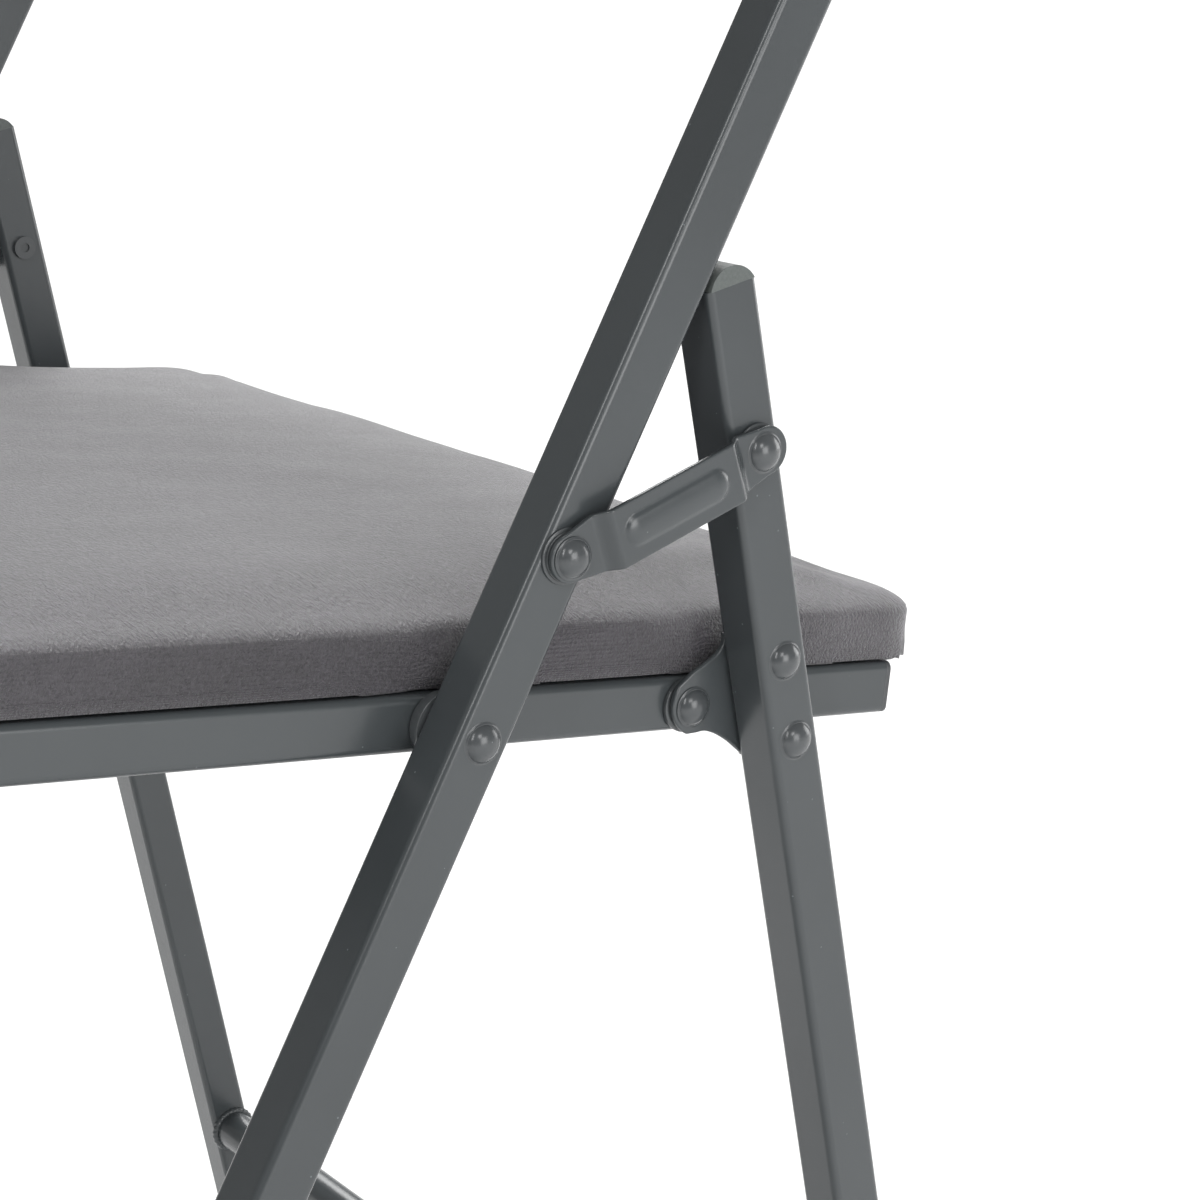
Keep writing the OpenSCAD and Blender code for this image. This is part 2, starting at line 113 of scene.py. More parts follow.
def in_frame_extent(node, axes):
    """A node's lowest and highest corners, measured along a frame's own axes."""
    back = axes.inverted()
    points = [back @ v.co for v in frame["nodes"][node].data.vertices]
    return (Vector([min(p[i] for p in points) for i in range(3)]),
            Vector([max(p[i] for p in points) for i in range(3)]))


def smooth_step(value, start, end):
    """0 below start, 1 above end and a smooth rise between them."""
    t = min(1.0, max(0.0, (value - start) / (end - start)))
    return t * t * (3 - 2 * t)


# ------------------------------------------------------------------ material helpers


class Nodes:
    """A short way to build a node tree: one call makes a node, sets it and links its inputs."""

    def __init__(self, tree):
        self.tree = tree

    def add(self, kind, values=None, **settings):
        node = self.tree.nodes.new(kind)
        for name, value in settings.items():
            setattr(node, name, value)
        for name, value in (values or {}).items():
            if isinstance(value, bpy.types.NodeSocket):
                self.tree.links.new(value, node.inputs[name])
            else:
                node.inputs[name].default_value = value
        return node

    def math(self, operation, *values):
        node = self.tree.nodes.new("ShaderNodeMath")
        node.operation = operation
        for socket, value in zip(node.inputs, values):
            if isinstance(value, bpy.types.NodeSocket):
                self.tree.links.new(value, socket)
            else:
                socket.default_value = value
        return node.outputs[0]

    def ramp(self, factor, stops):
        node = self.tree.nodes.new("ShaderNodeValToRGB")
        self.tree.links.new(factor, node.inputs["Fac"])
        while len(node.color_ramp.elements) < len(stops):
            node.color_ramp.elements.new(0.5)
        for element, (place, colour) in zip(node.color_ramp.elements, stops):
            element.position = place
            element.color = (*colour, 1)
        return node.outputs["Color"]

    def shades(self, factor, colour, darker, lighter, start=0.3, end=0.7):
        """The colour times darker where the factor is low, and times lighter where it is high."""
        low = tuple(c * darker for c in colour)
        high = tuple(min(1.0, c * lighter) for c in colour)
        return self.ramp(factor, [(start, low), (end, high)])

    def noise(self, vector, scale, detail=2.0, roughness=0.5):
        values = {"Vector": vector, "Scale": scale, "Detail": detail, "Roughness": roughness}
        return self.add("ShaderNodeTexNoise", values).outputs["Fac"]

    def stretched(self, vector, scale, turn=(0, 0, 0)):
        values = {"Vector": vector, "Scale": scale, "Rotation": turn}
        return self.add("ShaderNodeMapping", values).outputs["Vector"]

    def layered(self, *layers):
        """The sum of some factors, each times its own weight."""
        total = None
        for factor, weight in layers:
            part = self.math("MULTIPLY", factor, weight)
            total = part if total is None else self.math("ADD", total, part)
        return total

    def bump(self, height):
        """A bumped normal from a height in metres."""
        values = {"Height": height, "Strength": 1.0, "Distance": 1.0}
        return self.add("ShaderNodeBump", values).outputs["Normal"]


def new_material(name, **shader_values):
    """A material with a Principled shader, its node helper and its object-space coordinates."""
    material = bpy.data.materials.new(name)
    material.use_nodes = True
    nodes = Nodes(material.node_tree)
    shader = material.node_tree.nodes["Principled BSDF"]
    for key, value in shader_values.items():
        shader.inputs[key.replace("_", " ")].default_value = value
    place = nodes.add("ShaderNodeTexCoord").outputs["Object"]
    return material, nodes, shader, place


def powder_coat(name, colour, roughness):
    """Baked powder paint: an even colour, a fine orange peel and a few pale specks."""
    material, nodes, shader, place = new_material(name)
    link = nodes.tree.links.new
    cloud = nodes.noise(place, 14.0, 3.0)
    base = nodes.shades(cloud, colour, 0.93, 1.06)
    speck = nodes.add("ShaderNodeTexVoronoi", {"Vector": place, "Scale": 260.0}).outputs["Distance"]
    chance = nodes.math("GREATER_THAN", nodes.noise(place, 130.0, 1.0), 0.6)
    fleck = nodes.math("MULTIPLY", nodes.math("LESS_THAN", speck, 0.07), chance)
    pale = nodes.add("ShaderNodeMix", {"Factor": nodes.math("MULTIPLY", fleck, 0.8)}, data_type="RGBA")
    link(base, pale.inputs["A"])
    pale.inputs["B"].default_value = (*(min(1, c * 2.6) for c in colour), 1)
    link(pale.outputs["Result"], shader.inputs["Base Color"])
    peel = nodes.noise(place, 620.0, 3.0, 0.6)
    swell = nodes.noise(place, 110.0, 2.0)
    link(nodes.bump(nodes.layered((peel, 0.000022), (swell, 0.00005))), shader.inputs["Normal"])
    rough = {"Value": cloud, "To Min": roughness - 0.03, "To Max": roughness + 0.04}
    link(nodes.add("ShaderNodeMapRange", rough).outputs["Result"], shader.inputs["Roughness"])
    return material


def moulded(name, colour, roughness):
    """Moulded plastic with a fine spark-eroded grain."""
    material, nodes, shader, place = new_material(name, Roughness=roughness)
    link = nodes.tree.links.new
    grain = nodes.noise(place, 1100.0, 3.0, 0.6)
    link(nodes.shades(grain, colour, 0.86, 1.12), shader.inputs["Base Color"])
    link(nodes.bump(nodes.layered((grain, 0.00012))), shader.inputs["Normal"])
    return material


ROW_PITCH = 1.15 * MM


def velvet(name, colour):
    """Short pile with a soft sheen, brushed in soft patches, and fine ribs where it is pulled tight.

    The pad's mesh carries "row", a distance across the knit's rows, and "pulled", how tight they are.
    """
    material, nodes, shader, place = new_material(
        name, Specular_IOR_Level=0.85, Sheen_Weight=0.25, Sheen_Roughness=0.4,
        Sheen_Tint=(0.86, 0.86, 0.88, 1))
    link = nodes.tree.links.new
    lay = nodes.noise(nodes.stretched(place, (1.0, 0.45, 1.0)), 26.0, 4.0, 0.6)
    slanted = nodes.stretched(place, (0.42, 1.25, 1.0), (0, 0, math.radians(17)))
    dashes = nodes.noise(slanted, 1150.0, 2.0, 0.55)
    fibres = nodes.noise(place, 2600.0, 2.0, 0.7)
    row = nodes.add("ShaderNodeAttribute", attribute_name="row").outputs["Fac"]
    pulled = nodes.add("ShaderNodeAttribute", attribute_name="pulled").outputs["Fac"]
    wave = nodes.math("SINE", nodes.math("MULTIPLY", row, TURN / ROW_PITCH))
    rib = nodes.math("MULTIPLY", nodes.math("ADD", nodes.math("MULTIPLY", wave, 0.5), 0.5), pulled)
    tone = nodes.layered((lay, 0.35), (dashes, 0.4), (fibres, 0.25))
    least, most = 0.36, 0.64
    link(nodes.shades(tone, colour, 0.3, 2.2, least, most), shader.inputs["Base Color"])
    nap = {"Value": tone, "From Min": least, "From Max": most, "To Min": 0.50, "To Max": 0.30}
    link(nodes.add("ShaderNodeMapRange", nap).outputs["Result"], shader.inputs["Roughness"])
    height = nodes.layered((dashes, 0.00075), (fibres, 0.00038), (rib, 0.00016), (lay, 0.0007))
    link(nodes.bump(height), shader.inputs["Normal"])
    return material


def plywood(name):
    """Birch plywood with a soft wavy grain."""
    material, nodes, shader, place = new_material(name, Roughness=0.6)
    link = nodes.tree.links.new
    wave = {"Vector": place, "Scale": 30.0, "Distortion": 6.0, "Detail": 3.0}
    grain = nodes.add("ShaderNodeTexWave", wave)
    link(nodes.ramp(grain.outputs["Fac"], [(0.0, (0.36, 0.22, 0.11)), (1.0, (0.55, 0.37, 0.2))]),
         shader.inputs["Base Color"])
    link(nodes.bump(nodes.layered((grain.outputs["Fac"], 0.0001))), shader.inputs["Normal"])
    return material


def felt(name, colour):
    """Black spun-bonded lining: matted fibres and a grid of pressed points."""
    material, nodes, shader, place = new_material(name, Roughness=0.9, Specular_IOR_Level=0.2)
    link = nodes.tree.links.new
    fibre = nodes.noise(nodes.stretched(place, (1.0, 0.35, 1.0)), 1500.0, 3.0, 0.7)
    grid = {"Vector": place, "Scale": 520.0, "Randomness": 0.15}
    points = nodes.add("ShaderNodeTexVoronoi", grid).outputs["Distance"]
    pressed = nodes.math("LESS_THAN", points, 0.28)
    tone = nodes.layered((fibre, 0.8), (pressed, -0.2))
    link(nodes.shades(tone, colour, 0.5, 1.6, 0.15, 0.6), shader.inputs["Base Color"])
    link(nodes.bump(nodes.layered((fibre, 0.00018), (pressed, -0.0001))), shader.inputs["Normal"])
    return material


def bare_wire(name):
    """Galvanised staple wire."""
    material, nodes, shader, place = new_material(name, Roughness=0.35, Metallic=1.0)
    link = nodes.tree.links.new
    drawn = nodes.noise(place, 900.0, 2.0)
    link(nodes.shades(drawn, (0.55, 0.55, 0.54), 0.8, 1.1), shader.inputs["Base Color"])
    return material


FINISH = {
    "frame_steel": powder_coat("steel_coat", (0.045, 0.051, 0.054), 0.25),
    "rivet_steel": powder_coat("rivet_coat", (0.055, 0.060, 0.063), 0.22),
    "screw_steel": powder_coat("screw_black", (0.02, 0.02, 0.021), 0.35),
    "foot_plastic": moulded("foot_rubber", (0.016, 0.016, 0.017), 0.55),
    "plug_plastic": moulded("plug_plastic", (0.085, 0.096, 0.092), 0.6),
    "rail_plug_plastic": moulded("rail_plug_plastic", (0.052, 0.055, 0.058), 0.45),
    "plywood": plywood("plywood_birch"),
    "seat_velvet": velvet("velvet_seat", (0.022, 0.019, 0.024)),
    "back_velvet": velvet("velvet_back", (0.022, 0.019, 0.024)),
    "lining_cloth": felt("lining_black", (0.018, 0.018, 0.019)),
}
STAPLE_WIRE = bare_wire("staple_wire")


def finish_cad_nodes():
    """Gives each CAD node the finish of its own material slot in the record."""
    for name, node in frame["nodes"].items():
        node.data.materials.clear()
        node.data.materials.append(FINISH[SLOT[name]])


# ------------------------------------------------------------------ mesh helpers


def make_piece(name, shape, body, slot, replaced=(), sharp=38, material=None):
    """A smooth mesh piece that rides on a body; shape is its vertices and faces, in the row frame."""
    vertices, faces = shape
    mesh = bpy.data.meshes.new(name)
    mesh.from_pydata([tuple(v) for v in vertices], [], faces)
    work = bmesh.new()
    work.from_mesh(mesh)
    bmesh.ops.remove_doubles(work, verts=work.verts, dist=0.00001)
    bmesh.ops.dissolve_degenerate(work, edges=work.edges, dist=0.000005)
    bmesh.ops.recalc_face_normals(work, faces=work.faces)
    work.to_mesh(mesh)
    work.free()
    mesh.polygons.foreach_set("use_smooth", [True] * len(mesh.polygons))
    mesh.set_sharp_from_angle(angle=math.radians(sharp))
    mesh.materials.append(material or FINISH[slot])
    piece = bpy.data.objects.new(name, mesh)
    bpy.context.scene.collection.objects.link(piece)
    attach(piece, body)
    if replaced:
        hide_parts(*replaced)
    return piece


def stand_for(name, shape, *nodes):
    """A piece that takes the place, the body and the slot of some CAD nodes."""
    return make_piece(name, shape, BODY[nodes[0]], SLOT[nodes[0]], nodes)


def joined(*shapes):
    vertices, faces = [], []
    for more_vertices, more_faces in shapes:
        start = len(vertices)
        vertices += list(more_vertices)
        faces += [tuple(i + start for i in face) for face in more_faces]
    return vertices, faces


def mirrored(shape):
    vertices, faces = shape
    return [(-v[0], v[1], v[2]) for v in vertices], [tuple(reversed(face)) for face in faces]


def both_sides(shape):
    return joined(shape, mirrored(shape))


def placed(shape, axes):
    vertices, faces = shape
    return [axes @ Vector(v) for v in vertices], faces


def lofted(rings, closed=True, looped=False):
    """Quads between rings of equal count.

    With closed, each ring's ends are joined; with looped, the last ring is joined to the first.
    """
    count = len(rings[0])
    vertices = [v for ring in rings for v in ring]
    steps = len(rings) if looped else len(rings) - 1
    around = count if closed else count - 1
    faces = []
    for i in range(steps):
        here, there = i * count, (i + 1) % len(rings) * count
        for k in range(around):
            after = (k + 1) % count
            faces.append((here + k, here + after, there + after, there + k))
    return vertices, faces


def turned(profile, centre, looped=False, segments=72):
    """A shape turned about a line along X through centre; the profile holds (x, radius)."""
    angles = [TURN * k / segments for k in range(segments)]
    rings = []
    for x, radius in profile:
        rings.append([(x, centre.y + radius * math.cos(a), centre.z + radius * math.sin(a)) for a in angles])
    return lofted(rings, looped=looped)


def between(p, q, r, s, t):
    """The smooth curve from q, at t = 0, to r, at t = 1, with p before and s after them."""
    square, cube = 2 * p - 5 * q + 4 * r - s, 3 * q - p - 3 * r + s
    return 0.5 * (2 * q + (r - p) * t + square * t * t + cube * t ** 3)


def curve_through(points, steps):
    """A smooth open line through 2-D points, with some steps between each pair."""
    padded = [points[0], *points, points[-1]]
    line = []
    for a, b, c, d in zip(padded, padded[1:], padded[2:], padded[3:]):
        for step in range(steps):
            t = step / steps
            line.append(tuple(between(p, q, r, s, t) for p, q, r, s in zip(a, b, c, d)))
    return line + [tuple(points[-1])]


def arc(centre, radius, start, end, steps):
    """Points of an arc in a plane, by its angles in degrees, without its last point."""
    angles = [math.radians(start + (end - start) * k / steps) for k in range(steps)]
    return [(centre[0] + radius * math.cos(a), centre[1] + radius * math.sin(a)) for a in angles]


# ------------------------------------------------------------------ rivets and washers

HEAD_R = 5.05 * MM
HEAD_H = 2.8 * MM
SHANK_R = 3.0 * MM
TAIL_R = 4.2 * MM
PAINT_FILLET = 0.55 * MM
PIVOT_TAIL = 1.5 * MM
BRACKET_TAIL = 1.2 * MM
BRACKET_RIVETS_UP = (3.0 * MM, -20.5 * MM)
SEAT_RING_R = 9.0 * MM
REAR_RING_R = 7.6 * MM
LINK_RINGS_R = (6.5 * MM, 7.3 * MM)


def domed_head(base):
    """Half profile of a snap head on a face at x = base, from its crown to the paint in its corner."""
    steep, steps = math.radians(76), 14
    profile = []
    for k in range(steps + 1):
        angle = steep * k / steps
        rise = (math.cos(angle) - math.cos(steep)) / (1 - math.cos(steep))
        profile.append((base + HEAD_H * rise, HEAD_R * math.sin(angle) / math.sin(steep)))
    profile[-1] = (base + PAINT_FILLET * 0.6, HEAD_R)
    profile.append((base + PAINT_FILLET * 0.22, HEAD_R + PAINT_FILLET * 0.35))
    profile.append((base + 0.02 * MM, HEAD_R + PAINT_FILLET))
    return profile


def cupped_tail(start, height):
    """Half profile of the spread end of a semi-tubular rivet, from a face at x = start inwards."""
    end = start - height
    edge = 0.35 * MM
    return [(start, TAIL_R - edge), (start - edge * 0.4, TAIL_R), (end + edge, TAIL_R),
            (end, TAIL_R - edge), (end, TAIL_R * 0.55), (end + edge, TAIL_R * 0.42),
            (end + height * 0.6, TAIL_R * 0.3), (end + height * 0.6, 0)]


def riveted(name, node, centres, tail_height, right_node=None):
    """Snap-head rivets at some points of the side plane, in place of a node's own."""
    inner, crown = left_reach(node)
    base = crown - HEAD_H
    profile = domed_head(base) + [(base, SHANK_R)]
    if tail_height:
        profile += [(inner + tail_height, SHANK_R)] + cupped_tail(inner + tail_height, tail_height)
    else:
        profile += [(inner, SHANK_R), (inner, 0)]
    shape = joined(*(turned(profile, centre) for centre in centres))
    if right_node:
        stand_for(name + "_left", shape, node)
        stand_for(name + "_right", mirrored(shape), right_node)
    else:
        stand_for(name, both_sides(shape), node)


def washer(inner, outer, radius):
    """Profile of a flat ring with eased edges between two X places."""
    edge = min(0.3 * MM, (outer - inner) * 0.4)
    return [(outer, SHANK_R), (outer, radius - edge), (outer - edge * 0.3, radius - edge * 0.3),
            (outer - edge, radius), (inner + edge, radius), (inner, radius - edge), (inner, SHANK_R)]


def washers(name, node, centre, radii, right_node=None):
    """A stack of rings of the given radii, from the outermost inwards."""
    inner, outer = left_reach(node)
    thick = (outer - inner) / len(radii)
    shape = joined(*(
        turned(washer(outer - (k + 1) * thick, outer - k * thick, radius), centre, looped=True)
        for k, radius in enumerate(radii)))
    if right_node:
        stand_for(name + "_left", shape, node)
        stand_for(name + "_right", mirrored(shape), right_node)
    else:
        stand_for(name, both_sides(shape), node)


def make_fasteners():
    on_rear_leg = [REAR_LEG_FRAME @ Vector((0, 0, up)) for up in BRACKET_RIVETS_UP]
    riveted("seat_pivot_rivet_heads", "seat_pivot_rivets", [SEAT_PIVOT], PIVOT_TAIL)
    riveted("link_front_rivet_heads", "link_front_rivets", [LINK_FRONT], BRACKET_TAIL)
    riveted("rear_pivot_rivet_heads", "rear_pivot_rivets", [REAR_PIVOT], PIVOT_TAIL)
    riveted("bracket_rivet_heads", "bracket_rivets", on_rear_leg, BRACKET_TAIL)
    riveted("link_rear_rivet_head", "link_rear_rivet_left", [LINK_REAR], 0, "link_rear_rivet_right")
    washers("seat_pivot_rings", "seat_pivot_washers", SEAT_PIVOT, [SEAT_RING_R])
    washers("rear_pivot_rings", "rear_pivot_washers", REAR_PIVOT, [REAR_RING_R])
    washers("link_front_rings", "link_front_washers", LINK_FRONT, LINK_RINGS_R)
    washers("link_rear_rings", "link_rear_washers_left", LINK_REAR, LINK_RINGS_R, "link_rear_washers_right")


# ------------------------------------------------------------------ the pressed link

LINK_LENGTH = (LINK_REAR - LINK_FRONT).length
PLATE = 1.6 * MM
LINK_SEAT = 1.6 * MM
LINK_STEP = 3.3 * MM
LINK_HALF = 8.1 * MM
LINK_FRONT_R = 6.1 * MM
LINK_REAR_R = 6.4 * MM
LINK_REAR_CENTRE = LINK_LENGTH + 1.2 * MM
RAMP_FRONT = (8.0 * MM, 12.9 * MM)
RAMP_REAR = (LINK_LENGTH - 12.0 * MM, LINK_LENGTH - 6.8 * MM)
RIB = (18.8 * MM, 44.2 * MM)
RIB_HALF = 4.3 * MM
RIB_HEIGHT = 1.2 * MM


def link_half_width(along):
    front = smooth_step(along, -4 * MM, 12.5 * MM)
    rear = smooth_step(along, RAMP_REAR[0], LINK_REAR_CENTRE + 2 * MM)
    return LINK_FRONT_R + (LINK_HALF - LINK_FRONT_R) * front - (LINK_HALF - LINK_REAR_R) * rear


def link_stand(along):
    """How far the strip's inner face stands outside the leg: low at both ends, high between them."""
    rise = smooth_step(along, *RAMP_FRONT) - smooth_step(along, *RAMP_REAR)
    return LINK_SEAT + LINK_STEP * rise


def rib_rise(along, across):
    """Height of the pressed rib over the strip's face: a long round-ended dome."""
    nearest = min(max(along, RIB[0]), RIB[1])
    away = math.hypot(along - nearest, across) / RIB_HALF
    return RIB_HEIGHT * max(0.0, 1 - away * away) ** 0.62


def link_outline():
    """Points round the strip: its nearest point on the centre line, the way out from it and how far."""
    steps, end_steps = 150, 28
    rows = []
    for k in range(steps):
        along = LINK_REAR_CENTRE * k / steps
        rows.append((along, (0, 1), link_half_width(along)))
    radius = link_half_width(LINK_REAR_CENTRE)
    for x, y in arc((0, 0), 1, 90, -90, end_steps):
        rows.append((LINK_REAR_CENTRE, (x, y), radius))
    for k in range(steps):
        along = LINK_REAR_CENTRE * (1 - k / steps)
        rows.append((along, (0, -1), link_half_width(along)))
    radius = link_half_width(0)
    for x, y in arc((0, 0), 1, -90, -270, end_steps):
        rows.append((0, (x, y), radius))
    return rows


def pressed_link():
    """The strip as rings about its centre line: out over its top, round its edge and back underneath."""
    edge = 0.5 * MM
    flat_steps, edge_steps = 18, 4
    section = [(k / flat_steps, 0, True) for k in range(flat_steps)]
    section += [(1, 90 * k / edge_steps, True) for k in range(edge_steps + 1)]
    section += [(1, 90 - 90 * k / edge_steps, False) for k in range(edge_steps + 1)]
    section += [(1 - k / flat_steps, 0, False) for k in range(1, flat_steps + 1)]
    rings = []
    for share, angle, outer in section:
        turn = math.radians(angle)
        ring = []
        for along, (dx, dy), radius in link_outline():
            reach = (radius - edge) * share + (edge * math.sin(turn) if share == 1 else 0)
            s, t = along + dx * reach, dy * reach
            face = link_stand(s) + (PLATE if outer else 0)
            drop = edge * (1 - math.cos(turn))
            height = face + rib_rise(s, t) + (-drop if outer else drop)
            ring.append((HALF_WIDTH + height, s, t))
        rings.append(ring)
    return placed(lofted(rings), LINK_FRAME)


def make_links():
    shape = pressed_link()
    stand_for("pressed_link_left", shape, "fold_link_left")
    stand_for("pressed_link_right", mirrored(shape), "fold_link_right")


# ------------------------------------------------------------------ the pivot bracket


def bracket_outline():
    """The plate's outline in the rear leg's frame: a base behind the leg, a waist and a round ear."""
    pivot = REAR_LEG_FRAME.inverted() @ REAR_PIVOT
    ear = (pivot.y / MM + 2.6, pivot.z / MM + 0.2)
    radius, corner = 9.2, 1.2
    side, low, high = 6.5, -27, 9.5
    upper = curve_through([(-side, high), (-7.3, 6.9), (-9.8, 4.8), (-14.5, 3.5), (-18.1, 2.8),
                           (-21.5, 1.5)], 7)
    lower = curve_through([(-20.5, -14.5), (-18.1, -15.0), (-16.1, -16.1), (-13.9, -17.8), (-11.7, -20.0),
                           (-9.9, -22.1), (-7.0, -26.0), (-side, low)], 6)
    outline = upper + arc(ear, radius, 125, 235, 30)[1:] + lower
    outline += arc((side - corner, low + corner), corner, -90, 0, 6)
    outline += arc((side - corner, high - corner), corner, 0, 90, 6)
    return [(n * MM, s * MM) for n, s in outline]


def outward_ways(outline):
    """Unit directions out of a clockwise or anticlockwise outline at each of its points."""
    count = len(outline)
    area = sum(a[0] * b[1] - b[0] * a[1] for a, b in zip(outline, outline[1:] + outline[:1]))
    sign = 1 if area > 0 else -1
    ways = []
    for k in range(count):
        before, after = outline[k - 1], outline[(k + 1) % count]
        run = Vector((after[0] - before[0], after[1] - before[1])).normalized()
        ways.append(Vector((run.y, -run.x)) * sign)
    return ways


def rounded_plate(outline, inner, outer, edge):
    """A flat plate between two X places with round edges; its outline is in (Y, Z)."""
    ways = outward_ways(outline)
    rings = []
    steps = 5
    for k in range(2 * (steps + 1)):
        top = k <= steps
        turn = math.radians(90 * (k if top else 2 * steps + 1 - k) / steps)
        back = edge * (1 - math.sin(turn))
        drop = edge * (1 - math.cos(turn))
        x = outer - drop if top else inner + drop
        rings.append([(x, p[0] - w.x * back, p[1] - w.y * back) for p, w in zip(outline, ways)])
    vertices, faces = lofted(rings)
    count = len(outline)
    faces.append(tuple(range(count)))
    faces.append(tuple(range(len(vertices) - count, len(vertices))))
    return vertices, faces


def make_brackets():
    inner, outer = left_reach("pivot_bracket_left")
    edge = 0.6 * MM
    shape = placed(rounded_plate(bracket_outline(), inner, outer, edge), REAR_LEG_FRAME)
    stand_for("formed_bracket_left", shape, "pivot_bracket_left")
    stand_for("formed_bracket_right", mirrored(shape), "pivot_bracket_right")


# ------------------------------------------------------------------ weld beads

BEAD_R = 1.5 * MM


def bead(path, at_x):
    """A rippled weld along a line of (Y, Z) points in the plane X = at_x, with tapered ends."""
    ripple = 1.9 * MM
    sides = 10
    turns = [TURN * j / sides for j in range(sides)]
    travelled = 0.0
    rings = []
    for k, point in enumerate(path):
        before, after = path[max(k - 1, 0)], path[min(k + 1, len(path) - 1)]
        run = Vector((after[0] - before[0], after[1] - before[1])).normalized()
        if k:
            travelled += math.dist(point, path[k - 1])
        ends = min(1.0, (min(k, len(path) - 1 - k) + 0.4) / 5)
        radius = BEAD_R * ends * (1 + 0.09 * math.sin(TURN * travelled / ripple))
        rings.append([
            (at_x + radius * math.cos(a), point[0] + run.y * radius * math.sin(a),
             point[1] - run.x * radius * math.sin(a)) for a in turns])
    vertices, faces = lofted(rings)
    faces.append(tuple(range(sides)))
    faces.append(tuple(range(len(vertices) - sides, len(vertices))))
    return vertices, faces


def round_joint(node):
    """A bead round a stretcher's end, where it meets the leg."""
    centre = box_middle(node)
    radius = (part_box(node)[1].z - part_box(node)[0].z) / 2
    path = arc((centre.y, centre.z), radius + BEAD_R * 0.2, 0, 355, 110)
    return both_sides(bead(path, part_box(node)[1].x))


def open_joint(node, axes):
    """A bead down the front, under and up the rear of a square crossbar's end, where it meets the rail."""
    low, high = in_frame_extent(node, axes)
    corner = 2.0 * MM
    out = BEAD_R * 0.2
    top = high.z - 1.8 * MM
    front, rear, under = low.y - out, high.y + out, low.z - out
    steps, corner_steps = 14, 8
    path = [(front, top + (under + corner - top) * k / steps) for k in range(steps)]
    path += arc((front + corner, under + corner), corner, 180, 270, corner_steps)
    path += [(front + corner + (rear - front - 2 * corner) * k / steps, under) for k in range(steps)]
    path += arc((rear - corner, under + corner), corner, 270, 360, corner_steps)
    path += [(rear, under + corner + (top - under - corner) * k / steps) for k in range(steps + 1)]
    return both_sides(placed(bead(path, high.x), axes))


def make_welds():
    for node in ("front_stretcher", "rear_stretcher"):
        make_piece(node + "_welds", round_joint(node), BODY[node], SLOT[node])
    for node in ("seat_crossbar_front", "seat_crossbar_rear"):
        make_piece(node + "_welds", open_joint(node, SEAT_FRAME), BODY[node], SLOT[node])


# ------------------------------------------------------------------ velvet pads

VOXEL = 4.5 * MM
SEAT_CORNER = 15 * MM
BACK_CORNER = 28 * MM
CROWN_CORNER = 8 * MM         # the crown's corners are this much rounder
SLACK_SIDE = 0.5 * MM
SLACK_TOP = 1.2 * MM
SWELL_CAP = 2.5 * MM
WRAP_DROP = 0.5 * MM
STRAIGHT_SIDE = (13 * MM, 20 * MM)     # the side stands upright below the first and free above the second


def ring_round(half_x, low_y, high_y, corner, inset, height):
    """One level ring of a pad: a rectangle with round corners, drawn in by inset."""
    x, y0, y1 = half_x - inset, low_y + inset, high_y - inset
    r = max(3 * MM, min(corner, x, (y1 - y0) / 2))
    arc_steps, side_steps = 10, 26
    corners = [((x - r, y1 - r), 0), ((r - x, y1 - r), 90), ((r - x, y0 + r), 180), ((x - r, y0 + r), 270)]
    points = []
    for k, (centre, start) in enumerate(corners):
        bend = arc(centre, r, start, start + 90, arc_steps)
        points += bend
        a = arc(centre, r, start + 90, start + 91, 1)[0]
        next_centre, next_start = corners[(k + 1) % 4]
        b = arc(next_centre, r, next_start, next_start + 1, 1)[0]
        points += [(a[0] + (b[0] - a[0]) * j / side_steps, a[1] + (b[1] - a[1]) * j / side_steps)
                   for j in range(side_steps)]
    return [(px, py, height) for px, py in points]


def pad_shell(low, high, corner):
    """The pad's whole outside as a closed shell, a little slack so that the filling can swell it.

    Its levels are pairs in mm: how far in from the outline, and how high at the usual thickness.
    """
    half_x, thick = high.x - SLACK_SIDE, high.z - low.z - SLACK_TOP
    bottom, usual_thickness = low.z - WRAP_DROP, 25.7 * MM
    levels = curve_through([(0.0, 12.5), (0.5, 16.0), (2.0, 18.6), (5.0, 20.4), (12.0, 22.2), (24.0, 23.9),
                            (38.0, 25.0), (70.0, 25.9)], 4)
    scale = thick / usual_thickness
    wrapped = [(30.0, 0.0), (8.0, 0.0), (1.6, 0.0), (0.3, 0.8), (0.0, 2.5), (0.0, 7.0)]
    profile = [(inset * MM, height * MM) for inset, height in wrapped]
    profile += [(inset * MM, height * MM * scale) for inset, height in levels]
    side_top, flat_start, flat_run = 6 * MM, 1.5 * MM, 36 * MM
    rings = []
    for inset, height in profile:
        rounder = corner
        if height > side_top:
            rounder += CROWN_CORNER * min(1.0, max(0.0, inset - flat_start) / flat_run)
        rings.append(ring_round(
            half_x, low.y + SLACK_SIDE, high.y - SLACK_SIDE, rounder, inset, bottom + height))
    middle_y = (low.y + high.y) / 2
    hub_low = [(0, middle_y, bottom)] * len(rings[0])
    hub_high = [(0, middle_y, bottom + profile[-1][1])] * len(rings[0])
    return lofted([hub_low, *rings, hub_high])


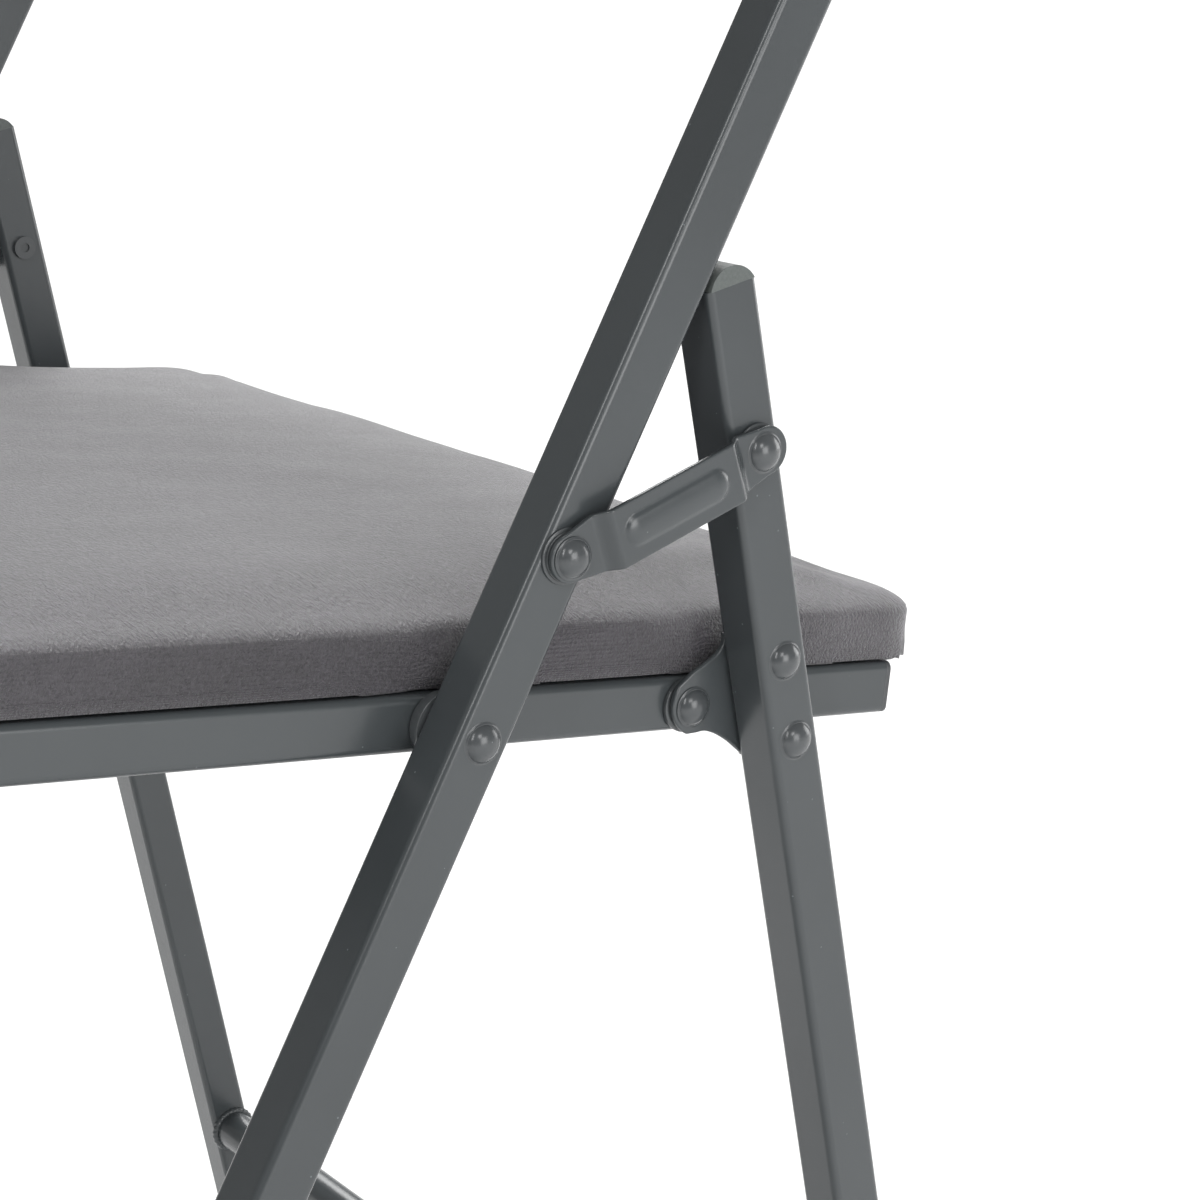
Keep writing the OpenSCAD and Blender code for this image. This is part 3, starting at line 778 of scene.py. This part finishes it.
def voxel_mesh(shape, name):
    """The shell remeshed into even quads, as a new object in the pad's own axes."""
    vertices, faces = shape
    mesh = bpy.data.meshes.new(name)
    mesh.from_pydata([tuple(v) for v in vertices], [], faces)
    work = bmesh.new()
    work.from_mesh(mesh)
    bmesh.ops.remove_doubles(work, verts=work.verts, dist=0.00005)
    bmesh.ops.recalc_face_normals(work, faces=work.faces)
    work.to_mesh(mesh)
    work.free()
    piece = bpy.data.objects.new(name, mesh)
    bpy.context.scene.collection.objects.link(piece)
    remesh = piece.modifiers.new("even_quads", "REMESH")
    remesh.mode = "VOXEL"
    remesh.voxel_size = VOXEL
    apply_modifiers(piece)
    return piece


def apply_modifiers(piece):
    """Puts the mesh that a piece's modifiers make in place of its own."""
    bpy.context.view_layer.update()
    whole = piece.evaluated_get(bpy.context.evaluated_depsgraph_get())
    mesh = bpy.data.meshes.new_from_object(whole)
    piece.modifiers.clear()
    old = piece.data
    piece.data = mesh
    bpy.data.meshes.remove(old)


def swell(piece, floor_height):
    """Lets the filling push the velvet out; the wrapped underside is held by the board."""
    start = [v.co.copy() for v in piece.data.vertices]
    held = piece.vertex_groups.new(name="held")
    held.add([v.index for v in piece.data.vertices if v.co.z < floor_height + 3 * MM], 1.0, "ADD")
    cloth = piece.modifiers.new("swell", "CLOTH")
    settings = cloth.settings
    settings.quality = 5
    settings.mass = 0.25
    settings.tension_stiffness = 20
    settings.compression_stiffness = 20
    settings.bending_stiffness = 2.0
    settings.use_pressure = True
    settings.uniform_pressure_force = 4.0
    settings.effector_weights.gravity = 0.0
    settings.vertex_group_mass = "held"
    scene, last_frame = bpy.context.scene, 20
    for number in range(1, last_frame + 1):
        scene.frame_set(number)
    whole = piece.evaluated_get(bpy.context.evaluated_depsgraph_get())
    swollen = [v.co.copy() for v in whole.data.vertices]
    piece.modifiers.clear()
    piece.vertex_groups.clear()
    scene.frame_set(1)
    for vertex, before, after in zip(piece.data.vertices, start, swollen):
        move = after - before
        vertex.co = before + move * min(1.0, SWELL_CAP / max(move.length, 1e-9))


def settle(piece, rounds):
    """Relaxes the mesh, then divides each quad once."""
    relax = piece.modifiers.new("relax", "SMOOTH")
    relax.iterations = rounds
    relax.factor = 0.5
    finer = piece.modifiers.new("finer", "SUBSURF")
    finer.levels = finer.render_levels = 1
    apply_modifiers(piece)


def with_normals(piece):
    """Each vertex with its normal as it is now, before any of them moves."""
    return list(zip(piece.data.vertices, [v.normal.copy() for v in piece.data.vertices]))


def line_distance(y, z, point, run):
    """Distance in the side plane from a line through a point, in the pad's own axes."""
    return abs((y - point.y) * run.z - (z - point.z) * run.y)


def rim_distance(co, low, high, corner):
    """How far outside a pad's outline a point is, in plan, and the way out from there."""
    half_y, middle_y = (high.y - low.y) / 2, (high.y + low.y) / 2
    qx = abs(co.x) - (high.x - corner)
    qy = abs(co.y - middle_y) - (half_y - corner)
    sign_x, sign_y = math.copysign(1, co.x), math.copysign(1, co.y - middle_y)
    if qx > 0 and qy > 0:
        away = math.hypot(qx, qy)
        return away - corner, Vector((sign_x * qx / away, sign_y * qy / away, 0))
    if qx > qy:
        return qx - corner, Vector((sign_x, 0, 0))
    return qy - corner, Vector((0, sign_y, 0))


def wrap_board(piece, low, high, corner, dent=None):
    """Keeps the velvet outside the board: tight round its edge, and flat just under it."""
    rim, under = -0.3 * MM, low.z - 0.45 * MM
    for vertex, normal in with_normals(piece):
        co = vertex.co.copy()
        if normal.z < -0.72:
            co.z = min(co.z, under)
        elif co.z < low.z + STRAIGHT_SIDE[1]:
            distance, way = rim_distance(co, low, high, corner)
            least = rim - (dent(co) if dent else 0)
            hold = 1 - smooth_step(co.z, low.z + STRAIGHT_SIDE[0], low.z + STRAIGHT_SIDE[1])
            if distance < least:
                co += way * (least - distance) * hold
            if co.z < low.z + 3 * MM:
                co.z = min(co.z, low.z - 0.7 * MM + (co.z - under) * 0.35)
        vertex.co = co


def dress_seat(piece, low, high):
    """Fits the seat pad to its frame: bulges and dents at its sides, pleats at its corners, small rucks."""
    back = SEAT_FRAME.inverted()
    turn = back.to_3x3()
    legs = []
    for point, run, width in ((SEAT_PIVOT, FRONT_LEG_RUN, 15 * MM), (LINK_REAR, REAR_LEG_RUN, 13 * MM)):
        legs.append((back @ point, (turn @ run).normalized(), width))
    rear_leg_y = (back @ LINK_REAR).y
    bulge, deepest = 2.9 * MM, 2.4 * MM

    def nearness(co):
        return max(math.exp(-(max(0.0, line_distance(co.y, co.z, point, run) - 6 * MM) / width) ** 2)
                   for point, run, width in legs)

    for vertex, normal in with_normals(piece):
        co = vertex.co.copy()
        side = smooth_step(abs(co.x), high.x - 24 * MM, high.x - 2 * MM)
        if side > 0:
            near = nearness(co)
            free = 1 - smooth_step(co.y, rear_leg_y + 2 * MM, rear_leg_y + 24 * MM)
            belly = smooth_step(co.z, low.z - 1 * MM, low.z + 8 * MM)
            belly *= 1 - 0.95 * smooth_step(co.z, low.z + 14 * MM, low.z + 22 * MM)
            co.x += math.copysign((bulge * free * (1 - near) - deepest * near) * side * belly, co.x)
        wander = noise.noise(Vector((co.x * 14, co.y * 9, co.z * 14)))
        fine = noise.noise(Vector((co.x * 45 + 7, co.y * 30, co.z * 45)))
        above = smooth_step(co.z, low.z + 2 * MM, low.z + 10 * MM)
        vertex.co = co + normal * (wander * 0.5 + fine * 0.22) * MM * above
    wrap_board(piece, low, high, SEAT_CORNER, lambda co: 2.2 * MM * nearness(co))
    gather(piece, low, high, SEAT_CORNER)


def gather(piece, low, high, corner):
    """Folds the wrapped velvet into small pleats round each lower corner."""
    pleats = 9
    for vertex, normal in with_normals(piece):
        co = vertex.co.copy()
        from_x = abs(co.x) - (high.x - corner)
        side_y = high.y - corner if co.y > 0.5 * (low.y + high.y) else low.y + corner
        from_y = (co.y - side_y) * (1 if side_y > 0.5 * (low.y + high.y) else -1)
        if from_x < 0 or from_y < 0:
            continue
        angle = math.atan2(from_y, from_x) / (math.pi / 2)
        under = 1 - smooth_step(co.z, low.z + 0.5 * MM, low.z + 9 * MM)
        spread = smooth_step(math.hypot(from_x, from_y), 6 * MM, corner)
        fold = math.sin(math.pi * angle) * math.sin(TURN * pleats / 2 * angle)
        vertex.co = co + normal * fold * under * spread * 0.7 * MM


def mark_rows(piece, low):
    """Writes the knit's row distance and how tightly each place is pulled."""
    row, pulled = [], []
    for vertex, normal in with_normals(piece):
        co = vertex.co
        sideways = normal.x * normal.x
        row.append(abs(co.x) - co.z * sideways)
        lower = 1 - smooth_step(co.z, low.z + 9 * MM, low.z + 19 * MM)
        pulled.append(lower * smooth_step(sideways + normal.y * normal.y, 0.3, 0.8))
    for name, values in (("row", row), ("pulled", pulled)):
        layer = piece.data.attributes.new(name, "FLOAT", "POINT")
        layer.data.foreach_set("value", values)


def make_pad(name, node, axes, corner, dress):
    """One upholstered pad in place of its plain solid."""
    low, high = in_frame_extent(node, axes)
    piece = voxel_mesh(pad_shell(low, high, corner), name)
    swell(piece, low.z - WRAP_DROP)
    settle(piece, 3)
    dress(piece, low, high)
    mark_rows(piece, low)
    piece.data.transform(axes)
    piece.data.polygons.foreach_set("use_smooth", [True] * len(piece.data.polygons))
    piece.data.materials.clear()
    piece.data.materials.append(FINISH[SLOT[node]])
    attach(piece, BODY[node])
    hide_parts(node)
    return piece


def dress_back(piece, low, high):
    """Small rucks over the back pad, and pleats round its corners."""
    for vertex, normal in with_normals(piece):
        co = vertex.co.copy()
        wander = noise.noise(Vector((co.x * 12 + 3, co.y * 16, co.z * 12)))
        fine = noise.noise(Vector((co.x * 40, co.y * 45 + 5, co.z * 40)))
        above = smooth_step(co.z, low.z + 2 * MM, low.z + 10 * MM)
        vertex.co = co + normal * (wander * 0.5 + fine * 0.22) * MM * above
    wrap_board(piece, low, high, BACK_CORNER)
    gather(piece, low, high, BACK_CORNER)


def make_pads():
    seat = make_pad("velvet_seat_pad", "seat_cushion", SEAT_FRAME, SEAT_CORNER, dress_seat)
    back = make_pad("velvet_back_pad", "back_cushion", BACK_FRAME, BACK_CORNER, dress_back)


# ------------------------------------------------------------------ staples

STAPLE = 10 * MM
WIRE = 0.45 * MM
STAPLE_PITCH = 38 * MM
SEAT_STAPLES_OUT = 181 * MM
BACK_STAPLES_OUT = 196 * MM


def staple(x, y, z, turn):
    """A staple's crown lying on the lining: a round-ended wire along X or, turned, along Y."""
    sides = 8
    rings = []
    for share, radius in ((-0.5, 0.1), (-0.49, 0.7), (-0.46, 1.0), (0.46, 1.0), (0.49, 0.7), (0.5, 0.1)):
        ring = []
        for k in range(sides):
            a = math.cos(TURN * k / sides) * radius * WIRE
            b = math.sin(TURN * k / sides) * radius * WIRE
            along = share * STAPLE
            ring.append((x + a, y + along, z + b) if turn else (x + along, y + a, z + b))
        rings.append(ring)
    vertices, faces = lofted(rings)
    faces += [tuple(range(sides)), tuple(range(len(vertices) - sides, len(vertices)))]
    return vertices, faces


def make_staples(name, node, axes, side_reach):
    """Staples round the lining, set in from its edge and a little uneven."""
    low, high = in_frame_extent(node, axes)
    inset, end_gap, uneven = 5 * MM, 30 * MM, 1.5 * MM
    z = low.z - WIRE * 0.3
    shapes = []
    count = int(2 * side_reach / STAPLE_PITCH)
    for k in range(count + 1):
        x = -side_reach + 2 * side_reach * k / count
        for y in (low.y + inset, high.y - inset):
            shapes.append(staple(x, y + noise.noise(Vector((x * 90, y * 90, 1))) * uneven, z, False))
    run = high.y - low.y - 2 * end_gap
    count = int(run / STAPLE_PITCH)
    for k in range(count + 1):
        y = low.y + end_gap + run * k / count
        for x in (-side_reach, side_reach):
            shapes.append(staple(x + noise.noise(Vector((x * 90, y * 90, 2))) * uneven, y, z, True))
    shape = placed(joined(*shapes), axes)
    make_piece(name, shape, BODY[node], "screw_steel", material=STAPLE_WIRE)


# ------------------------------------------------------------------ eased edges on CAD nodes


def ease_edges(node, width, angle=40):
    """Rounds a node's sharp edges with modifiers; its own mesh stays as packed."""
    piece = frame["nodes"][node]
    weld = piece.modifiers.new("one_skin", "WELD")
    weld.merge_threshold = 0.00001
    bevel = piece.modifiers.new("eased_edges", "BEVEL")
    bevel.width = width
    bevel.segments = 3
    bevel.limit_method = "ANGLE"
    bevel.angle_limit = math.radians(angle)
    bevel.harden_normals = True


# ------------------------------------------------------------------ studio


def area_light(name, place, aim, size, watts):
    """A rectangular light of some size in metres, turned towards aim."""
    data = bpy.data.lights.new(name, "AREA")
    data.shape, data.size, data.size_y, data.energy = "RECTANGLE", size[0], size[1], watts
    lamp = bpy.data.objects.new(name, data)
    bpy.context.scene.collection.objects.link(lamp)
    lamp.location = place
    lamp.rotation_mode = "QUATERNION"
    lamp.rotation_quaternion = (Vector(aim) - Vector(place)).to_track_quat("-Z", "Y")


def overhead(name, strength, spread, towards):
    """A broad far light that shines from a direction, as wide as spread in degrees."""
    data = bpy.data.lights.new(name, "SUN")
    data.energy, data.angle = strength, math.radians(spread)
    lamp = bpy.data.objects.new(name, data)
    bpy.context.scene.collection.objects.link(lamp)
    lamp.rotation_mode = "QUATERNION"
    lamp.rotation_quaternion = Vector(towards).to_track_quat("Z", "Y")


def studio_air():
    """Even white light from all round."""
    world = bpy.data.worlds.new("studio_air")
    bpy.context.scene.world = world
    world.use_nodes = True
    background = world.node_tree.nodes["Background"]
    background.inputs["Color"].default_value = (1, 1, 1, 1)
    background.inputs["Strength"].default_value = 0.36


def paper_floor():
    """A wide plain pale floor."""
    mesh = bpy.data.meshes.new("floor")
    half = 30.0
    corners = [(-half, -half, 0), (half, -half, 0), (half, half, 0), (-half, half, 0)]
    mesh.from_pydata(corners, [], [(0, 1, 2, 3)])
    floor = bpy.data.objects.new("floor", mesh)
    bpy.context.scene.collection.objects.link(floor)
    material = new_material(
        "floor_paper", Base_Color=(0.78, 0.78, 0.78, 1), Roughness=0.9, Specular_IOR_Level=0.1)[0]
    mesh.materials.append(material)


def studio():
    studio_air()
    paper_floor()
    middle = (CAD_BOX[0] + CAD_BOX[1]) / 2
    overhead("overhead_far", 2.0, 36, (-0.58, 0.47, 0.67))
    overhead("overhead_high", 2.5, 32, (-0.42, 0.33, 0.85))
    area_light("low_right", middle + Vector((2.34, 0.41, 0.34)), middle, (1.0, 1.0), 18)
    area_light("low_rear", middle + Vector((0.41, 2.34, 0.34)), middle, (1.2, 1.0), 14)
    area_light("key_right", middle + Vector((2.06, -0.25, 1.2)), middle, (0.6, 0.6), 9)
    area_light("strip_front", middle + Vector((1.26, -1.50, 1.38)), middle, (0.16, 1.2), 13)
    bpy.context.scene.view_settings.view_transform = "Standard"


def camera():
    """The close three-quarter view of the sitter's left side, from in front and above."""
    place = Vector((0.7540, -0.3607, 0.6161))
    swing, down = math.radians(36.937), math.radians(15.978)
    data = bpy.data.cameras.new("camera")
    data.sensor_width, data.lens = 36.0, 83.11
    data.clip_start = 0.01
    cam = bpy.data.objects.new("camera", data)
    bpy.context.scene.collection.objects.link(cam)
    back = Vector((math.cos(swing) * math.cos(down), -math.sin(swing) * math.cos(down), math.sin(down)))
    cam.location = place
    cam.rotation_mode = "QUATERNION"
    cam.rotation_quaternion = (-back).to_track_quat("-Z", "Y")
    bpy.context.scene.camera = cam


finish_cad_nodes()
make_fasteners()
make_links()
make_brackets()
make_welds()
make_pads()
make_staples("seat_staples", "seat_lining", SEAT_FRAME, SEAT_STAPLES_OUT)
make_staples("back_staples", "back_lining", BACK_FRAME, BACK_STAPLES_OUT)
for plugged in ("rear_leg_plug_left", "rear_leg_plug_right", "seat_rail_plugs"):
    ease_edges(plugged, 0.5 * MM)
studio()
camera()
